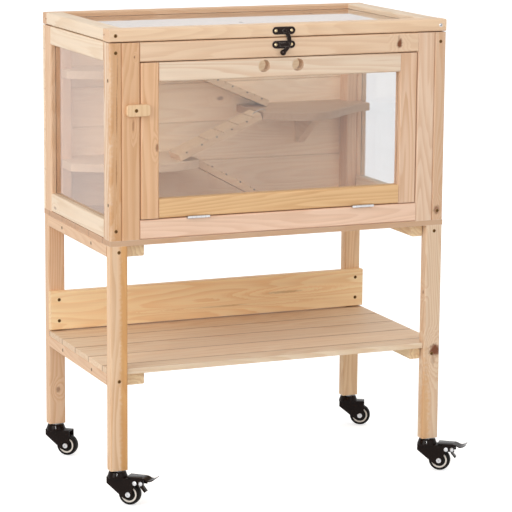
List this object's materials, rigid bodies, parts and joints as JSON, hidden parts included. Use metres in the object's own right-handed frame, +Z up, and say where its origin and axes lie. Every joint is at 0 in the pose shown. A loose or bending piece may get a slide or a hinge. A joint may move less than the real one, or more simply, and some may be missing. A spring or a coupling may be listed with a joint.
{
  "type": "hamster cage",
  "caption": "Glazed pine hamster cage with hinged lid and drop-down door, inner platforms and ramps, on a stand with a shelf and swivel casters.",
  "frame": {"origin": "on the ground, below the middle of the wooden stand", "axes": "+X to the right along the front, +Y to the back, +Z up"},
  "size_m": [0.8676, 0.5305, 1.044],
  "materials": {
    "pine": "clear satin",
    "light_pine": "planed",
    "acrylic": "clear",
    "zinc": "zinc plated",
    "dark_nickel": "dark nickel plated",
    "black_steel": "black coated",
    "tyre": "moulded"
  },
  "bodies": {
    "cage": {"back_wall_boards": "pine", "board_cleats": "pine", "cage_hinge_leaves": "zinc", "caster_stems": "zinc", "floor_boards": "pine", "frame_screws": "zinc", "front_bottom_rail": "pine", "front_stile_left": "pine", "front_stile_right": "pine", "front_top_rail": "pine", "latch_catch": "dark_nickel", "leg_front_left": "pine", "leg_front_right": "pine", "leg_rear_left": "pine", "leg_rear_right": "pine", "platform_bracket": "pine", "platform_lower_left": "pine", "platform_right": "pine", "platform_upper_left": "pine", "post_front_left": "pine", "post_front_right": "pine", "post_rear_left": "pine", "post_rear_right": "pine", "ramp_lower": "light_pine", "ramp_middle": "light_pine", "ramp_upper": "light_pine", "rear_battens": "pine", "shelf_back_board": "pine", "shelf_boards": "pine", "side_frame_rails": "pine", "side_pane_left": "acrylic", "side_pane_right": "acrylic", "stand_side_rails": "pine"},
    "door": {"door_stile_left": "pine", "door_stile_right": "pine", "door_top_rail": "pine", "door_bottom_rail": "pine", "door_pane": "acrylic", "door_hinge_leaves": "zinc"},
    "lid": {"lid_front_rail": "pine", "lid_rear_rail": "pine", "lid_side_rail_left": "pine", "lid_side_rail_right": "pine", "lid_pane": "acrylic", "lid_hinge_leaves": "zinc", "lid_screws": "zinc", "latch_plate": "dark_nickel"},
    "latch_hook": {"latch_hook": "dark_nickel"},
    "turn_button": {"turn_button": "light_pine"},
    "caster_fork_front_left": {"caster_fork_front_left": "black_steel"},
    "caster_wheel_front_left": {"caster_wheel_front_left": "tyre"},
    "caster_fork_front_right": {"caster_fork_front_right": "black_steel"},
    "caster_wheel_front_right": {"caster_wheel_front_right": "tyre"},
    "caster_fork_rear_left": {"caster_fork_rear_left": "black_steel"},
    "caster_wheel_rear_left": {"caster_wheel_rear_left": "tyre"},
    "caster_fork_rear_right": {"caster_fork_rear_right": "black_steel"},
    "caster_wheel_rear_right": {"caster_wheel_rear_right": "tyre"},
    "brake_pedal_front_left": {"brake_pedal_front_left": "black_steel"},
    "brake_pedal_front_right": {"brake_pedal_front_right": "black_steel"}
  },
  "joints": [
    {"name": "door_hinge", "type": "hinge", "parent": "cage", "child": "door", "pos_m": [0, -0.2335, 0.631], "axis": [1, 0, 0], "range_deg": [0, 180]},
    {"name": "lid_hinge", "type": "hinge", "parent": "cage", "child": "lid", "pos_m": [0, 0.2335, 1.016], "axis": [-1, 0, 0], "range_deg": [0, 180]},
    {"name": "latch_hook_pivot", "type": "hinge", "parent": "lid", "child": "latch_hook", "pos_m": [0.002, -0.23, 1.0305], "axis": [0, -1, 0], "range_deg": [0, 100]},
    {"name": "turn_button_pivot", "type": "hinge", "parent": "cage", "child": "turn_button", "pos_m": [-0.343, -0.23, 0.87], "axis": [0, -1, 0], "continuous": true},
    {"name": "caster_swivel_front_left", "type": "hinge", "parent": "cage", "child": "caster_fork_front_left", "pos_m": [-0.38, -0.2165, 0.072], "axis": [0, 0, 1], "continuous": true},
    {"name": "caster_axle_front_left", "type": "hinge", "parent": "caster_fork_front_left", "child": "caster_wheel_front_left", "pos_m": [-0.35771, -0.23657, 0.025], "axis": [-0.6691, -0.7431, 0], "continuous": true},
    {"name": "brake_pivot_front_left", "type": "hinge", "parent": "caster_fork_front_left", "child": "brake_pedal_front_left", "pos_m": [-0.34507, -0.24795, 0.053], "axis": [0.6691, 0.7431, 0], "range_deg": [0, 6]},
    {"name": "caster_swivel_front_right", "type": "hinge", "parent": "cage", "child": "caster_fork_front_right", "pos_m": [0.38, -0.2165, 0.072], "axis": [0, 0, 1], "continuous": true},
    {"name": "caster_axle_front_right", "type": "hinge", "parent": "caster_fork_front_right", "child": "caster_wheel_front_right", "pos_m": [0.40396, -0.23455, 0.025], "axis": [-0.6018, -0.7986, 0], "continuous": true},
    {"name": "brake_pivot_front_right", "type": "hinge", "parent": "caster_fork_front_right", "child": "brake_pedal_front_right", "pos_m": [0.41754, -0.24479, 0.053], "axis": [0.6018, 0.7986, 0], "range_deg": [0, 6]},
    {"name": "caster_swivel_rear_left", "type": "hinge", "parent": "cage", "child": "caster_fork_rear_left", "pos_m": [-0.38, 0.2165, 0.072], "axis": [0, 0, 1], "continuous": true},
    {"name": "caster_axle_rear_left", "type": "hinge", "parent": "caster_fork_rear_left", "child": "caster_wheel_rear_left", "pos_m": [-0.35806, 0.19604, 0.025], "axis": [-0.682, -0.7314, 0], "continuous": true},
    {"name": "caster_swivel_rear_right", "type": "hinge", "parent": "cage", "child": "caster_fork_rear_right", "pos_m": [0.38, 0.2165, 0.072], "axis": [0, 0, 1], "continuous": true},
    {"name": "caster_axle_rear_right", "type": "hinge", "parent": "caster_fork_rear_right", "child": "caster_wheel_rear_right", "pos_m": [0.40649, 0.20242, 0.025], "axis": [-0.4695, -0.8829, 0], "continuous": true}
  ]
}
